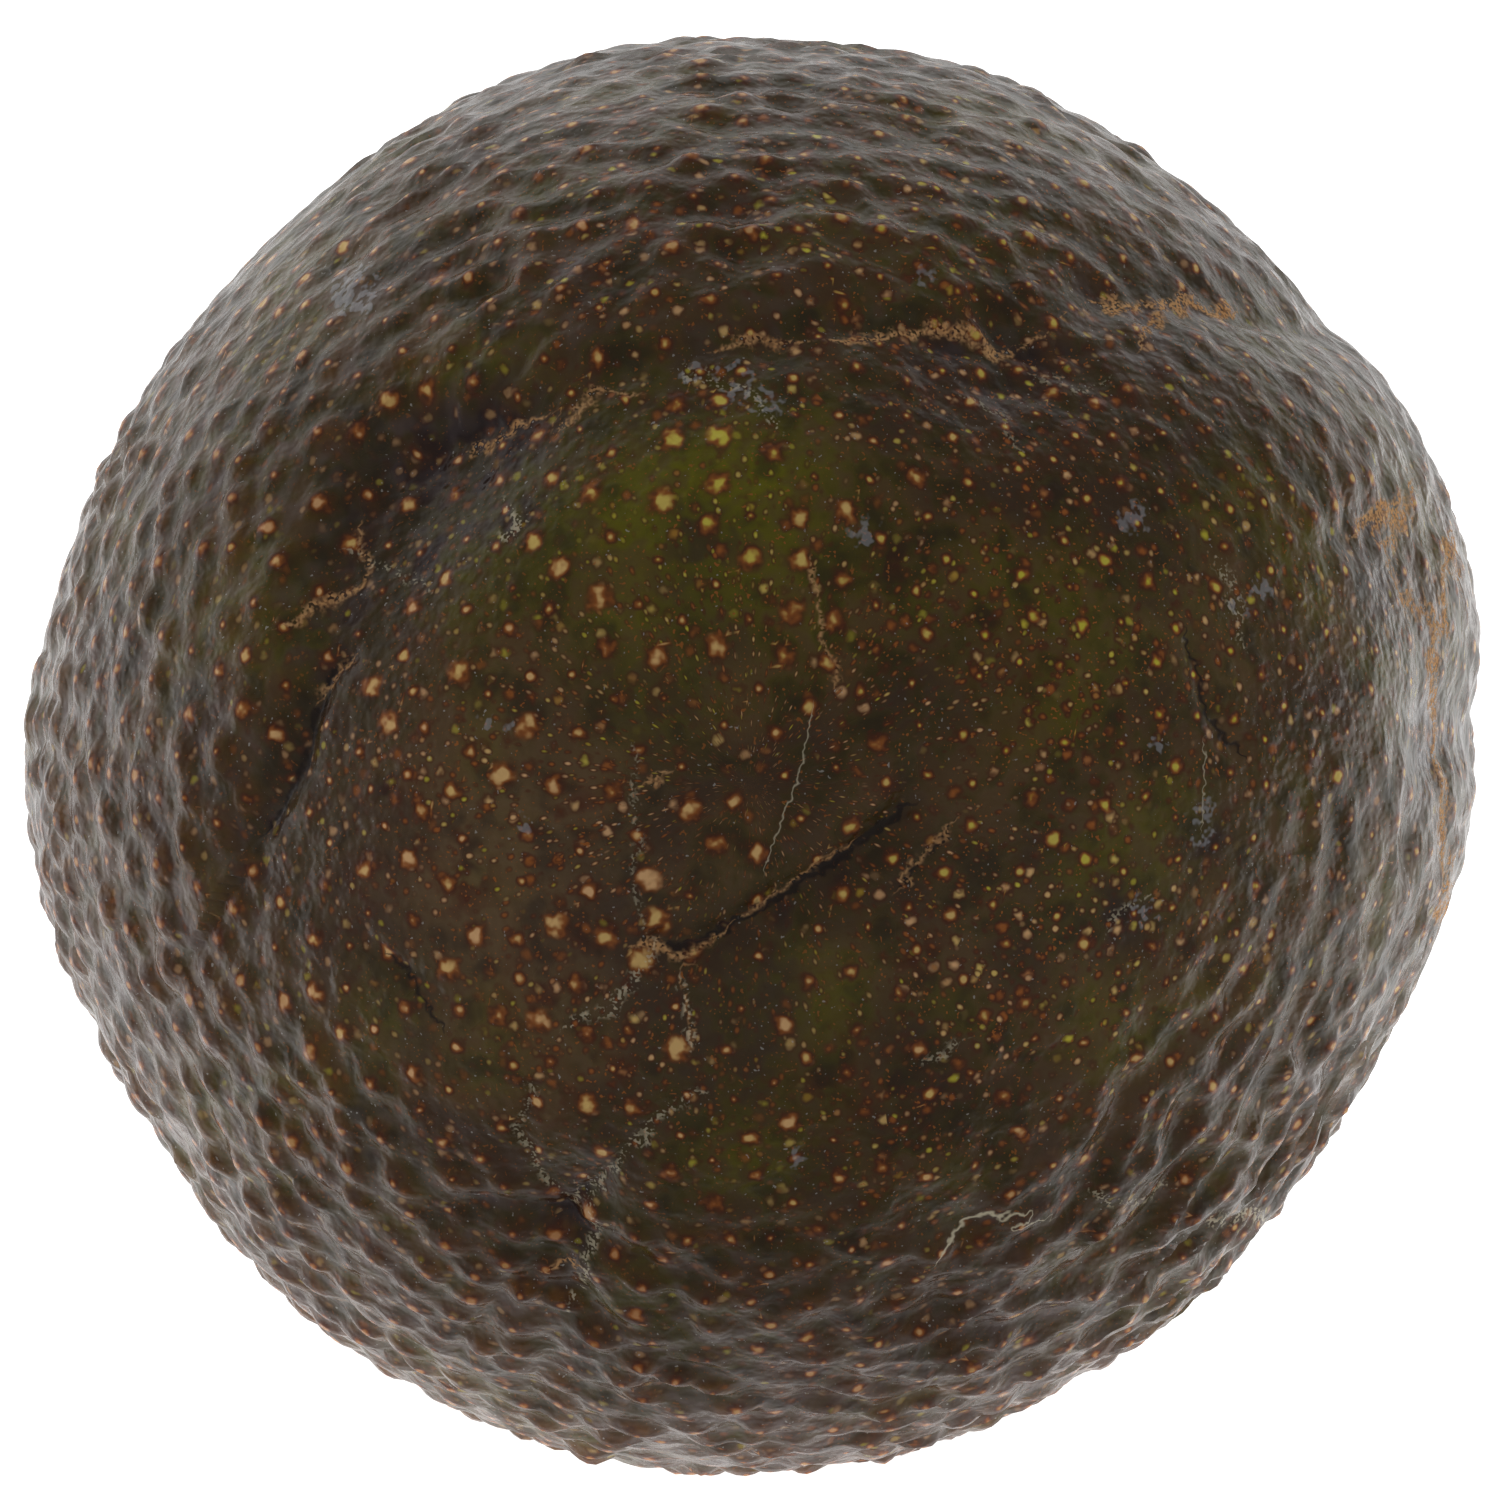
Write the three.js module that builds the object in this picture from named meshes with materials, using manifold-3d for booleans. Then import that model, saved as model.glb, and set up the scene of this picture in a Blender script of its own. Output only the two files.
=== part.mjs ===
// A ripe avocado lying on its side, with the stub of its stalk in the socket at the narrow end.
// Millimetres, +Z up. +Y runs from the broad blossom end to the stem end. The origin is the middle
// of the small flat spot that the fruit rests on, straight under its centre of mass.
import * as THREE from "three";
import { mergeVertices } from "three/addons/utils/BufferGeometryUtils.js";
import Module from "manifold-3d";

// Overall size and profile of the fruit
const LENGTH = 96;
const GIRTH_RADIUS = 34.6; // mean radius at the thickest place
const BLOSSOM_BLUNTNESS = 2.25; // exponents of the profile: 2 is an ellipse, more is blunter
const STEM_BLUNTNESS = 2.6;
const NECK_TAPER = 0.42; // share of the radius that is lost at the stem end
const NECK_POWER = 2.2; // how late along the fruit the taper sets in
const GIRTH_AT = 0.39; // where the fruit is thickest, as a share of its length from the blossom end
const STEM_LEAN = [1.8, 1.2]; // how far the neck leans towards +X and +Z

// How the fruit lies: the stem end dips, and the skin is pressed flat where it rests
const REST_DIP_DEG = 10.5;
const SPOT_SINK = 0.3; // depth of skin that the flat spot takes off
const SPOT_BARE = 8; // the relief fades out within this radius round the spot
const SPOT_FADE = 5;

// Swellings and flats round the girth: angle in degrees, seen from the blossom end with 0 towards +X
// and 90 up, then half width in degrees and height
const LOBES = [
  [14, 26, 1.5],
  [70, 14, 0.6],
  [110, 14, 0.3],
  [154, 13, -0.4],
  [181, 13, 1],
  [212, 10, -0.4],
  [296, 20, -0.6],
  [328, 22, -1.5],
  [358, 8, 0.5],
];

// The viewpoint from which the marks of the blossom end are laid out, and the point it looks at.
// A mark's place is then [right, up] in millimetres in the plane through that point.
const VIEW_POINT_DISTANCE = 420;
const VIEW_POINT_RAISE_DEG = 12;
const VIEW_CENTRE = [0, -12, 36];

// Folds where the drying skin has sunk: a line of places, then depth and half width
const FOLDS = [
  { depth: 1.5, width: 2.6, line: [[-24.6, -4.5], [-22.4, 0], [-21.2, 5], [-20.4, 9.5], [-18.4, 13.6], [-15.6, 15.8]] },
  { depth: 1.25, width: 2.3, line: [[-15.6, 15.8], [-10.5, 17], [-4.5, 18.6], [0, 20], [6, 20.5], [12.5, 20.2]] },
  { depth: 0.9, width: 2.2, line: [[17.5, 22.2], [21.5, 21.8], [25.5, 20.9], [29.8, 19.8]] },
  { depth: 0.8, width: 1.7, line: [[29.6, 10.8], [31.3, 10.2], [32.2, 7.2], [33.9, 4], [34.5, -1], [34, -6]] },
  { depth: 0.5, width: 1.3, line: [[-4.6, -9.6], [-1.2, -8.9], [3.4, -6.1], [7.4, -3.4], [9.4, 1.4]] },
  { depth: 0.6, width: 1.8, line: [[-8.4, -21.8], [-9.2, -25.2], [-9.3, -30]] },
];

// Soft dents and swellings of the blossom end: place, radius and height
const SWELLS = [
  [-17.5, 11.5, 5, -0.9],
  [13.5, 19, 5, -0.7],
  [-8.8, -22.5, 4, -0.6],
  [7.5, -6.2, 3.2, -0.35],
  [3, -21, 3, -0.3],
  [-27, 12, 8, 0.7],
  [-4, 27, 9, 0.7],
  [27, 14, 6, 0.7],
  [-2, 10, 7, 0.5],
  [1, -15, 8, 0.4],
];

// The blossom end's smooth face, which carries hardly any pebbles: middle, half sizes
const SMOOTH_FACE = [1, -1.5, 29, 25];

// Pebbled skin: one flat-sided pebble on each raised point of the mesh
const SKIN_MESH_FREQUENCY = 23; // edges along each side of the icosahedron
const PEBBLE_RISE = 0.5;
const PEBBLE_SINK = 0.2; // how far the skin between the pebbles lies below the plain form
const PEBBLE_SPREAD = 0.45; // how far a pebble's height may differ, as a share of it
const CALM_PEBBLES = 0.3; // height left at the smooth face and at the calm upper right
const CALM_SIDE = [32, 30]; // seen place of the calm upper right shoulder
const CALM_SIDE_RADIUS = 22;
const PEBBLE_SEED = 20731;

// The stub of the stalk and the socket that it sits in, measured from the end of the fruit
const STUB_RADIUS = 4.5;
const STUB_WAIST = 3.8;
const STUB_DEPTH = 2.2; // below the tip of the skin
const STUB_HEIGHT = 3; // above it
const STUB_FLARE = 1.4; // where the stub is widest
const STUB_ROUND = 0.8; // rounding of its rim
const STUB_DISH = 0.4; // hollow of its torn end
const STUB_GAP = 0.3;
const STUB_SIDES = 28;
const SOCKET_CHAMFER_FROM = -0.5; // height where the socket begins to widen
const SOCKET_MOUTH = 3; // how far the widening stands clear of the stub at its top
const SOCKET_TOP = 3; // height of that top, well above the skin
const COLLAR = { radius: 7.5, height: 0.8 }; // the skin's low swelling round the socket

const degrees = THREE.MathUtils.degToRad;
const smooth = THREE.MathUtils.smoothstep;

function seededRandom(seed) {
  let state = seed;
  return () => {
    state = (state + 0x6d2b79f5) | 0;
    let t = Math.imul(state ^ (state >>> 15), 1 | state);
    t = (t + Math.imul(t ^ (t >>> 7), 61 | t)) ^ t;
    return ((t ^ (t >>> 14)) >>> 0) / 2 ** 32;
  };
}

// The radius of the profile at a share of the length from the blossom end, before the taper
function taperAt(share) {
  return 1 - NECK_TAPER * share ** NECK_POWER;
}

// Half width of the bare superellipse that gives GIRTH_RADIUS at GIRTH_AT once tapered
function girthScale() {
  const along = Math.abs(2 * GIRTH_AT - 1);
  const share = (1 - along ** BLOSSOM_BLUNTNESS) ** (1 / BLOSSOM_BLUNTNESS);
  return GIRTH_RADIUS / (share * taperAt(GIRTH_AT));
}
const HALF_GIRTH = girthScale();
const HALF_LENGTH = LENGTH / 2;

function lobeHeight(angle) {
  return LOBES.reduce((sum, [at, half, height]) => {
    const turn = ((angle - at + 540) % 360) - 180;
    return sum + height * Math.exp(-((turn / half) ** 2));
  }, 0);
}

// The plain skin in the fruit's own frame, where its axis is Y and its middle is the origin
function plainSkin(direction) {
  const { x, y, z } = direction;
  const across = Math.hypot(x, z);
  const power = y < 0 ? BLOSSOM_BLUNTNESS : STEM_BLUNTNESS;
  const reach = ((across / HALF_GIRTH) ** power + (Math.abs(y) / HALF_LENGTH) ** power) ** (-1 / power);
  const point = direction.clone().multiplyScalar(reach);
  const share = point.y / LENGTH + 0.5;
  const radius = across * reach;
  const lobe = lobeHeight((Math.atan2(z, x) * 180) / Math.PI) * (radius / HALF_GIRTH) ** 2;
  const scale = taperAt(share) * (1 + lobe / GIRTH_RADIUS);
  point.x = point.x * scale + STEM_LEAN[0] * share ** 2;
  point.z = point.z * scale + STEM_LEAN[1] * share ** 2;
  return point;
}

// Turns and lifts the fruit from its own frame into the way it lies, with the spot under the origin
function restingFrame() {
  const turn = new THREE.Matrix4().makeRotationX(-degrees(REST_DIP_DEG));
  const lowest = new THREE.Vector3(0, 0, Infinity);
  for (let polar = 20; polar < 160; polar += 0.05) {
    const direction = new THREE.Vector3(0, -Math.cos(degrees(polar)), -Math.sin(degrees(polar)));
    const point = plainSkin(direction).applyMatrix4(turn);
    if (point.z < lowest.z) lowest.copy(point);
  }
  const shift = new THREE.Matrix4().makeTranslation(0, -lowest.y, -lowest.z - SPOT_SINK);
  return shift.multiply(turn);
}
const LYING = restingFrame();

// Where a point is seen from the viewpoint: [right, up], in the plane through VIEW_CENTRE
function seenPlace(point) {
  const raise = degrees(VIEW_POINT_RAISE_DEG);
  const [x, y, z] = [point.x - VIEW_CENTRE[0], point.y - VIEW_CENTRE[1], point.z - VIEW_CENTRE[2]];
  const nearer = -y * Math.cos(raise) + z * Math.sin(raise);
  const enlarge = VIEW_POINT_DISTANCE / (VIEW_POINT_DISTANCE - nearer);
  return [x * enlarge, (y * Math.sin(raise) + z * Math.cos(raise)) * enlarge];
}

function distanceToLine([x, z], line) {
  let best = Infinity;
  for (let i = 1; i < line.length; i++) {
    const [ax, az] = line[i - 1];
    const [dx, dz] = [line[i][0] - ax, line[i][1] - az];
    const share = THREE.MathUtils.clamp(((x - ax) * dx + (z - az) * dz) / (dx * dx + dz * dz), 0, 1);
    best = Math.min(best, Math.hypot(x - ax - share * dx, z - az - share * dz));
  }
  return best;
}

// Height of the folds, dents and swellings at a seen place
function endRelief(place) {
  let height = 0;
  for (const { depth, width, line } of FOLDS)
    height -= depth * Math.exp(-((distanceToLine(place, line) / width) ** 2));
  for (const [x, z, radius, rise] of SWELLS)
    height += rise * Math.exp(-(Math.hypot(place[0] - x, place[1] - z) ** 2) / radius ** 2);
  return height;
}

// How strongly the skin is pebbled at a seen place of the blossom end
function pebblesSeen([x, z]) {
  const [middleX, middleZ, halfX, halfZ] = SMOOTH_FACE;
  const out = Math.hypot((x - middleX) / halfX, (z - middleZ) / halfZ);
  const strength = CALM_PEBBLES + (1 - CALM_PEBBLES) * smooth(out, 0.8, 1.15);
  const calm = smooth(Math.hypot(x - CALM_SIDE[0], z - CALM_SIDE[1]), CALM_SIDE_RADIUS, CALM_SIDE_RADIUS * 1.6);
  return strength * (CALM_PEBBLES + (1 - CALM_PEBBLES) * calm);
}

function geometryOf(manifold) {
  const mesh = manifold.getMesh();
  const geometry = new THREE.BufferGeometry();
  const positions = new Float32Array(mesh.numVert * 3);
  for (let i = 0; i < mesh.numVert; i++)
    positions.set(mesh.vertProperties.subarray(i * mesh.numProp, i * mesh.numProp + 3), i * 3);
  geometry.setAttribute("position", new THREE.BufferAttribute(positions, 3));
  geometry.setIndex(new THREE.BufferAttribute(new Uint32Array(mesh.triVerts), 1));
  geometry.computeVertexNormals();
  return geometry;
}

function closedGeometry(geometry) {
  geometry.deleteAttribute("normal");
  geometry.deleteAttribute("uv");
  return mergeVertices(geometry, 1e-4);
}

function solidOf(wasm, geometry) {
  const closed = closedGeometry(geometry);
  return new wasm.Manifold(
    new wasm.Mesh({
      numProp: 3,
      vertProperties: closed.attributes.position.array,
      triVerts: new Uint32Array(closed.index.array),
    }),
  );
}

// Picks the mesh points that carry a pebble: in random order, each point with no raised neighbour
function raisedPoints(geometry, random) {
  const count = geometry.attributes.position.count;
  const neighbours = Array.from({ length: count }, () => new Set());
  const index = geometry.index.array;
  for (let i = 0; i < index.length; i += 3)
    for (let k = 0; k < 3; k++) {
      neighbours[index[i + k]].add(index[i + ((k + 1) % 3)]);
      neighbours[index[i + ((k + 1) % 3)]].add(index[i + k]);
    }
  const order = Array.from({ length: count }, (_, i) => [random(), i]).sort((a, b) => a[0] - b[0]);
  const raised = new Set();
  for (const [, i] of order) if (![...neighbours[i]].some((n) => raised.has(n))) raised.add(i);
  return raised;
}

// The whole skin as one closed mesh: plain form, then the end's relief, the collar and the pebbles
function fruitSkin() {
  const geometry = closedGeometry(new THREE.IcosahedronGeometry(1, SKIN_MESH_FREQUENCY - 1));
  const random = seededRandom(PEBBLE_SEED);
  const raised = raisedPoints(geometry, random);
  const positions = geometry.attributes.position;
  const point = new THREE.Vector3();
  for (let i = 0; i < positions.count; i++) {
    const direction = new THREE.Vector3().fromBufferAttribute(positions, i).normalize();
    const own = plainSkin(direction);
    const outward = new THREE.Vector3(own.x / HALF_GIRTH ** 2, own.y / HALF_LENGTH ** 2, own.z / HALF_GIRTH ** 2);
    outward.normalize().transformDirection(LYING);
    point.copy(own).applyMatrix4(LYING);

    const place = seenPlace(point);
    const facing = 1 - smooth(own.y, -12, 2);
    const fromStem = Math.hypot(own.x - STEM_LEAN[0], own.z - STEM_LEAN[1]);
    const collar = own.y > 0 ? COLLAR.height * Math.exp(-((fromStem / COLLAR.radius) ** 4)) : 0;
    const bare = smooth(Math.hypot(point.x, point.y), SPOT_BARE, SPOT_BARE + SPOT_FADE);
    const spot = point.z < HALF_GIRTH ? bare : 1;
    const strength = spot * (1 - facing + facing * pebblesSeen(place));
    const rise = PEBBLE_RISE * (1 + PEBBLE_SPREAD * (2 * random() - 1));
    const pebble = raised.has(i) ? rise : -PEBBLE_SINK;
    const height = facing * endRelief(place) + collar + strength * pebble;
    point.addScaledVector(outward, height);
    positions.setXYZ(i, point.x, point.y, Math.max(point.z, 0));
  }
  return geometry;
}

// A solid turned round the fruit's own axis at the stem end; the profile is [radius, height] pairs
// with height 0 at the tip of the plain skin
function turnedAtStem(profile, sides) {
  const geometry = new THREE.LatheGeometry(
    profile.map(([radius, height]) => new THREE.Vector2(radius, height)),
    sides,
  );
  geometry.translate(STEM_LEAN[0], HALF_LENGTH, STEM_LEAN[1]);
  return geometry.applyMatrix4(LYING);
}

function stubProfile() {
  return [
    [0, -STUB_DEPTH],
    [STUB_WAIST, -STUB_DEPTH],
    [STUB_WAIST, 0.4],
    [STUB_RADIUS, STUB_FLARE],
    [STUB_RADIUS, STUB_HEIGHT - STUB_ROUND],
    [STUB_RADIUS - STUB_ROUND, STUB_HEIGHT],
    [0, STUB_HEIGHT - STUB_DISH],
  ];
}

function socketProfile() {
  const radius = STUB_WAIST + STUB_GAP;
  return [
    [0, -STUB_DEPTH - STUB_GAP],
    [radius, -STUB_DEPTH - STUB_GAP],
    [radius, SOCKET_CHAMFER_FROM],
    [STUB_RADIUS + SOCKET_MOUTH, SOCKET_TOP],
    [0, SOCKET_TOP],
  ];
}

const wasm = await Module();
wasm.setup();

const skin = solidOf(wasm, fruitSkin());
const socket = solidOf(wasm, turnedAtStem(socketProfile(), STUB_SIDES));

const avocado = new THREE.Group();

const fruit = new THREE.Mesh(
  geometryOf(skin.subtract(socket)),
  new THREE.MeshStandardMaterial({ color: 0x3f3828, roughness: 0.45, metalness: 0 }),
);
fruit.name = "fruit";
avocado.add(fruit);

const stub = new THREE.Mesh(
  turnedAtStem(stubProfile(), STUB_SIDES),
  new THREE.MeshStandardMaterial({ color: 0x6b5236, roughness: 0.85, metalness: 0 }),
);
stub.name = "stem_stub";
avocado.add(stub);

export default avocado;
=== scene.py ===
"""The looks of a ripe avocado: its pebbled and folded skin, the stub of its stalk, and the stage."""
import math

import bpy
import numpy as np
from bpy.props import FloatProperty, FloatVectorProperty, IntProperty, PointerProperty
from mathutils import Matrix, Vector, kdtree, noise


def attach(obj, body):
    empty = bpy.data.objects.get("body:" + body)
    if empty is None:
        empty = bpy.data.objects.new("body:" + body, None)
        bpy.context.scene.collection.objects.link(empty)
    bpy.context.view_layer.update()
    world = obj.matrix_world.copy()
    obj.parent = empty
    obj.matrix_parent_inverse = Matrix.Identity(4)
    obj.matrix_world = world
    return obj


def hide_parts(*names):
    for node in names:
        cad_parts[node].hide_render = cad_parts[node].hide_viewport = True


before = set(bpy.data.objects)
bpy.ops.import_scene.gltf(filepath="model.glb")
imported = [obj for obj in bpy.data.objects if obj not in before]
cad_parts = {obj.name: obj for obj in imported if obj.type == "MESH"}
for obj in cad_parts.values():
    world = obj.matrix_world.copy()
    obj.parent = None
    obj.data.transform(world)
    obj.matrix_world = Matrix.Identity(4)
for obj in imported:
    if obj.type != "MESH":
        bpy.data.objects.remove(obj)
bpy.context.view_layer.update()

bl_info = {
    "name": "Ripe avocado",
    "version": (1, 0, 0),
    "blender": (4, 5, 0),
    "location": "3D View > Sidebar > Avocado",
    "description": "Makes a ripe avocado with pebbled skin, its stalk stub and a pale stage",
    "category": "Add Mesh",
}

# The skin is worked out in millimetres and turned into Blender's metres at the end
MM = 0.001

# Overall size and profile of the fruit, as its solid has them
LENGTH = 96
GIRTH_RADIUS = 34.6
BLOSSOM_BLUNTNESS = 2.25
STEM_BLUNTNESS = 2.6
NECK_TAPER = 0.42
NECK_POWER = 2.2
GIRTH_AT = 0.39
STEM_LEAN = (1.8, 1.2)

# How the fruit lies
REST_DIP_DEG = 10.5
SPOT_SINK = 0.3
SPOT_BARE = 8
SPOT_FADE = 5

# Swellings and flats round the girth: angle, half width in degrees, height
LOBES = [
    (14, 26, 1.5),
    (70, 14, 0.6),
    (110, 14, 0.3),
    (154, 13, -0.4),
    (181, 13, 1.0),
    (212, 10, -0.4),
    (296, 20, -0.6),
    (328, 22, -1.5),
    (358, 8, 0.5),
]

# The viewpoint in front of the blossom end. A mark's place is (right, up) in millimetres
# in the plane through VIEW_CENTRE that faces it.
VIEW_POINT_DISTANCE = 420
VIEW_POINT_RAISE_DEG = 12
VIEW_CENTRE = (0, -12, 36)

# Folds where the drying skin has sunk: depth, half widths on the left and on the right of the
# line of places
FOLDS = [
    (1.05, 1.5, 5.2, [(-24.6, -4.5), (-22.4, 0), (-21.2, 5), (-20.4, 9.5), (-18.4, 13.6), (-15.6, 15.8)]),
    (0.9, 1.5, 4.2, [(-15.6, 15.8), (-10.5, 17), (-4.5, 18.6), (0, 20), (6, 20.5), (12.5, 20.2)]),
    (0.6, 2.0, 2.0, [(17.5, 22.2), (21.5, 21.8), (25.5, 20.9), (27.5, 20.4)]),
    (0.5, 1.8, 1.8, [(29.6, 10.8), (31.3, 10.2), (32.2, 7.2), (33.7, 4), (34, 0)]),
    (0.45, 2.4, 2.4, [(34.6, 2), (34.4, -3)]),
    (0.2, 2.2, 2.2, [(34, -4), (33.4, -8)]),
    (0.3, 1.3, 1.3, [(-4.6, -9.6), (-1.2, -8.9), (3.4, -6.1), (7.4, -3.4), (9.4, 1.4)]),
    (0.6, 1.8, 1.8, [(-8.4, -21.8), (-9.2, -25.2), (-9.3, -30)]),
]

# Soft dents and swellings: place, radius, height (negative for a dent)
SWELLS = [
    (-17.5, 11.5, 5, -0.9),
    (13.5, 19, 5, -0.7),
    (-8.8, -22.5, 4, -0.6),
    (7.5, -6.2, 3.2, -0.35),
    (3, -21, 3, -0.3),
    (-27, 12, 8, 0.7),
    (-4, 27, 9, 0.7),
    (27, 14, 6, 0.7),
    (-2, 10, 7, 0.5),
    (1, -15, 8, 0.4),
    (35.5, 0.8, 2.5, -0.6),
]

# Narrow dark cracks, then creases and veins: depth (negative for a raised vein), half width and
# line of places
CRACKS = [
    (0.45, 0.45, [(-24.3, -3.8), (-22.5, -0.8), (-22.3, 0.5), (-21.8, 2), (-21.2, 3.8), (-20.2, 4.7)]),
    (0.6, 0.8, [(-4.5, -9.5), (-2.7, -9.7), (-0.5, -8.3), (1, -7.4), (5, -5), (7.6, -3)]),
    (0.3, 0.35, [(21.3, 5.3), (21.8, 4), (22, 2.5), (22.8, 1), (23.7, 0)]),
    (0.2, 0.3, [(9.8, -3.8), (8.7, -5.3), (7.5, -6.5)]),
    (0.15, 0.3, [(-17.4, -10.2), (-16.6, -11), (-15.2, -13.2)]),
]
CREASES = [
    (0.2, 0.4, [(7.6, -3), (8, -1.5), (9.5, 2)]),
    (0.15, 0.4, [(9.5, 2), (11.5, 1.3), (13.5, 1.8), (15, 2.5)]),
    (0.2, 0.5, [(-19, -9), (-16.5, -11), (-15, -12)]),
    (0.3, 0.5, [(-9, -23.5), (-12.5, -22), (-15, -22.5)]),
    (0.3, 0.5, [(-9.2, -24.5), (-12, -26.5), (-14, -29)]),
    (0.3, 0.5, [(-8.6, -24), (-5.5, -25), (-3, -27.5)]),
    (0.3, 0.5, [(-8.8, -23), (-6.5, -20), (-5.3, -18.8), (-4, -17.2), (-2.7, -16.7)]),
    (0.25, 0.45, [(-10.5, -16.5), (-11.2, -18.5), (-10, -21.5), (-9.2, -23)]),
    (0.25, 0.5, [(22, 21.6), (25, 21), (27.5, 20.4)]),
    (-0.18, 0.5, [(-5.6, 0), (-5.4, -3), (-5.3, -5.5), (-5.1, -8.5)]),
    (-0.2, 0.5, [
        (3, 9.5), (3.2, 7.5), (3.7, 5), (4, 3.5), (2.7, 0.3), (2.3, -1.5), (1.3, -4), (0.3, -7),
    ]),
    (-0.15, 0.5, [(-5, -10), (-6, -11.5), (-7, -12.7), (-8.3, -13.2)]),
]

# Tan cork along the creases: half width, line of places
CORK_LINES = [
    (0.12, [(-14.5, 15.6), (-12.7, 16), (-10.5, 16.8)]),
    (0.08, [(-9.2, 16.2), (-7.5, 17.7), (-6, 17.6)]),
    (0.12, [(-1.3, 19.8), (0, 20.1), (2.3, 20.1)]),
    (0.21, [(4.6, 20.4), (7, 20.9), (9, 21), (11, 20.8), (12.4, 20.3)]),
    (0.11, [(12.4, 20.3), (13.5, 20.2), (14.2, 20.4)]),
    (0.30, [(17.8, 22.2), (19, 21.8), (20.5, 22), (22, 21.8), (23.3, 21.6)]),
    (0.18, [(19.5, 20.3), (20.2, 21.3), (20.5, 22)]),
    (0.32, [(29.8, 10.9), (31.3, 12.3), (31.5, 10.7), (30.4, 11.2)]),
    (0.15, [(31.5, 10.5), (31.2, 9.8), (31.7, 8.5), (32.3, 7.3), (33.3, 6.4)]),
    (0.2, [(33.8, 10), (33.8, 5), (34.2, 3), (34.4, 0), (34.2, -3), (34, -5), (33.6, -8)]),
    (0.09, [(-0.4, -8), (0.6, -7.3), (2, -6.5), (3.3, -5.9), (4.7, -4.8)]),
    (0.26, [(-5, -9.7), (-4.1, -9.9)]),
    (0.10, [(-4.1, -9.9), (-2.7, -9.7), (-1.6, -9)]),
    (0.14, [(-22.4, 6.4), (-21, 7.4), (-19.7, 8.3)]),
    (0.07, [(-19.7, 8.3), (-19.6, 9.6), (-19.8, 11)]),
    (0.08, [(3.1, 8.6), (3.2, 7.5), (3.7, 5), (4, 3.5)]),
    (0.16, [(-9.6, -25.7), (-9, -25.7)]),
    (0.08, [(-3.2, -11.5), (-3.1, -12.6), (-3, -13.7)]),
    (0.12, [(-4.8, -1.4), (-4.4, -1.2)]),
    (0.08, [(-20.2, 4.7), (-21, 4.2), (-21.6, 3)]),
    (0.07, [(9.8, -3.8), (8.7, -5.3), (7.5, -6.5)]),
]

# White dry cracks: half width, line of places
WHITE_LINES = [
    (0.07, [(9.3, -24.3), (10.5, -23), (11.3, -22.5), (13, -22.2)]),
    (0.04, [(11.3, -22.5), (12.6, -22.9), (14, -22.6)]),
    (0.02, [(2.9, 1.6), (2.7, 0.3), (2.3, -1.5), (1.3, -4), (0.8, -5.4)]),
    (0.01, [(22.1, 0), (22, -2.2), (21.9, -3.4)]),
]

# Lines of pale crumbs along faint veins: half width, line of places
DUSTY_LINES = [
    (0.2, [(-8.8, -23), (-6.5, -20), (-5.3, -18.8), (-4, -17.2), (-2.7, -16.7)]),
    (0.12, [(-10.5, -16.5), (-11.2, -18.5), (-10, -21.5), (-9.2, -23)]),
    (0.3, [(-8, -22), (-7.8, -24.5), (-8.6, -27)]),
    (0.06, [(-5.6, 0), (-5.4, -3), (-5.3, -5.5), (-5.1, -8.5)]),
    (0.25, [(-5, -10), (-6, -11.5), (-7, -12.7), (-8.3, -13.2)]),
    (0.25, [(-3.2, -11.5), (-3.1, -12.6), (-3, -13.7)]),
    (0.1, [(-19.9, 10), (-18, 9.3), (-16.5, 8.2)]),
    (0.2, [(17, -21.4), (18.6, -21.9), (20, -21.5)]),
    (0.3, [(22.5, -22.6), (24.5, -22.2), (26, -22.9)]),
    (0.2, [(-3, 18.5), (-1, 18), (0.5, 17.2), (1.2, 16)]),
    (0.3, [(-12, 12), (-11.5, 11.2), (-12.2, 10.6)]),
    (0.15, [(22.5, 8.9), (23.4, 7.4), (24, 5.2)]),
    (0.06, [(11, 17.6), (12.6, 16.6), (13.4, 15)]),
    (0.06, [(14.6, 18.8), (16.4, 17.8), (17.4, 18.2)]),
    (0.12, [(17.4, -8.8), (18.4, -7.6), (19.1, -7.2)]),
    (0.12, [(8.6, -14.7), (9.8, -14.3)]),
]

# Blotches of colour, as in all the lists of spots below: place, radius, strength. Some of these lists are
# partly painted shade or painted sheen
GREEN_SPOTS = [
    (-2.5, 11.5, 6, 1.1),
    (-5, 8, 4, 0.7),
    (0.5, 12.5, 3, 1.0),
    (2.2, 10.3, 2, 0.8),
    (-2.2, 14.5, 2, 0.8),
    (-8.5, 12.5, 3.5, 0.6),
    (-6, 7.5, 3, 0.75),
    (-4.5, 3, 2.6, 0.7),
    (-14, 10.5, 3, 0.5),
    (3, -12, 3, 0.65),
    (0.5, -18, 5, 0.4),
    (14, 8, 4, 0.35),
    (19, 6, 4, 0.25),
    (16, -6.5, 3, 0.3),
    (10.5, 25, 2.6, 0.5),
    (3, 16, 1.6, 0.5),
    (22, 11.5, 2, 0.5),
    (30.5, 4.5, 1.6, 0.5),
    (8.2, 7, 1.6, 0.5),
    (-17.5, -13, 2.4, 0.5),
    (-25, 13.7, 2.4, 0.5),
    (25.5, 20.8, 2, 0.5),
    (12.5, 3.2, 2.6, 0.3),
]
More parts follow.
